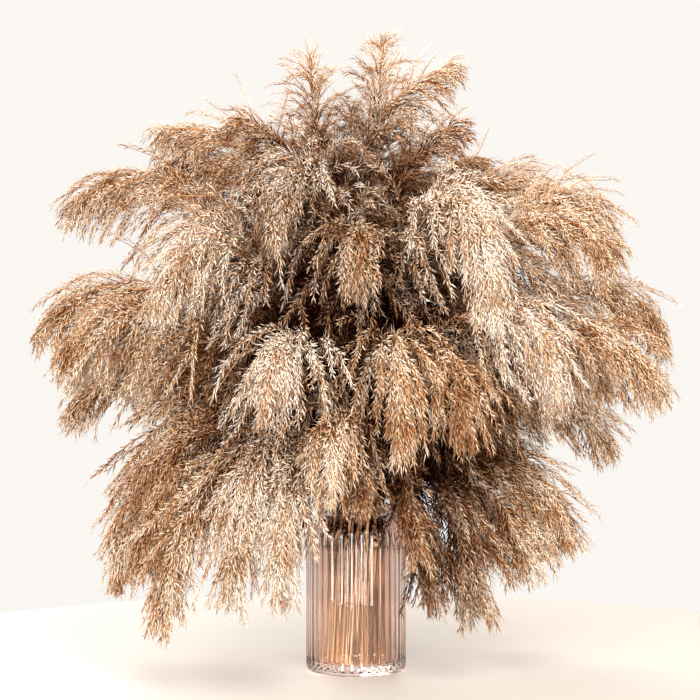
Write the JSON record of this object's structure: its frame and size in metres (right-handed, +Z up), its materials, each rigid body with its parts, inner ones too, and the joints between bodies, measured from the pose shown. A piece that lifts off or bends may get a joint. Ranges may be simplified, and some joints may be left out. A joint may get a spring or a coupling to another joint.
{
  "type": "bundle of pampas grass in a vase",
  "caption": "Full, arching bundle of dried pampas grass plumes standing in a short ribbed glass vase.",
  "frame": {"origin": "centre of the vase's flat foot, on the surface it stands on", "axes": "+Z up along the vase; +X to the right and -Y towards the viewer of the side that is dressed to be seen"},
  "size_m": [0.6495, 0.5097, 0.6551],
  "materials": {
    "pale": "matte dried plume, cream",
    "tan": "matte dried plume, tan",
    "brown": "matte dried plume, brown",
    "rose_glass": "clear pink-brown glass, pressed ribs"
  },
  "bodies": {
    "root": {"glass_vase": "rose_glass", "pampas_stem_crown_01": "tan", "pampas_stem_crown_02": "brown", "pampas_stem_crown_03": "tan", "pampas_stem_crown_04": "tan", "pampas_stem_crown_05": "brown", "pampas_stem_crown_06": "tan", "pampas_stem_crown_07": "tan", "pampas_stem_crown_08": "pale", "pampas_stem_crown_09": "brown", "pampas_stem_high_01": "tan", "pampas_stem_high_02": "brown", "pampas_stem_high_03": "tan", "pampas_stem_high_04": "pale", "pampas_stem_high_05": "tan", "pampas_stem_high_06": "pale", "pampas_stem_high_07": "tan", "pampas_stem_high_08": "tan", "pampas_stem_high_09": "tan", "pampas_stem_high_10": "brown", "pampas_stem_high_11": "tan", "pampas_stem_high_12": "pale", "pampas_stem_high_13": "tan", "pampas_stem_high_14": "tan", "pampas_stem_middle_01": "tan", "pampas_stem_middle_02": "tan", "pampas_stem_middle_03": "pale", "pampas_stem_middle_04": "pale", "pampas_stem_middle_05": "pale", "pampas_stem_middle_06": "tan", "pampas_stem_middle_07": "tan", "pampas_stem_middle_08": "brown", "pampas_stem_middle_09": "pale", "pampas_stem_middle_10": "tan", "pampas_stem_middle_11": "tan", "pampas_stem_middle_12": "tan", "pampas_stem_middle_13": "brown", "pampas_stem_middle_14": "tan", "pampas_stem_middle_15": "pale", "pampas_stem_middle_16": "tan", "pampas_stem_skirt_01": "tan", "pampas_stem_skirt_02": "tan", "pampas_stem_skirt_03": "brown", "pampas_stem_skirt_04": "tan", "pampas_stem_skirt_05": "pale", "pampas_stem_skirt_06": "brown", "pampas_stem_skirt_07": "brown", "pampas_stem_skirt_08": "tan", "pampas_stem_skirt_09": "tan", "pampas_stem_skirt_10": "tan", "pampas_stem_skirt_11": "tan", "pampas_stem_skirt_12": "tan", "pampas_stem_skirt_13": "tan", "pampas_stem_skirt_14": "tan", "pampas_stem_skirt_15": "brown", "pampas_stem_skirt_16": "tan", "pampas_stem_skirt_17": "tan", "pampas_stem_skirt_18": "tan"}
  },
  "joints": []
}
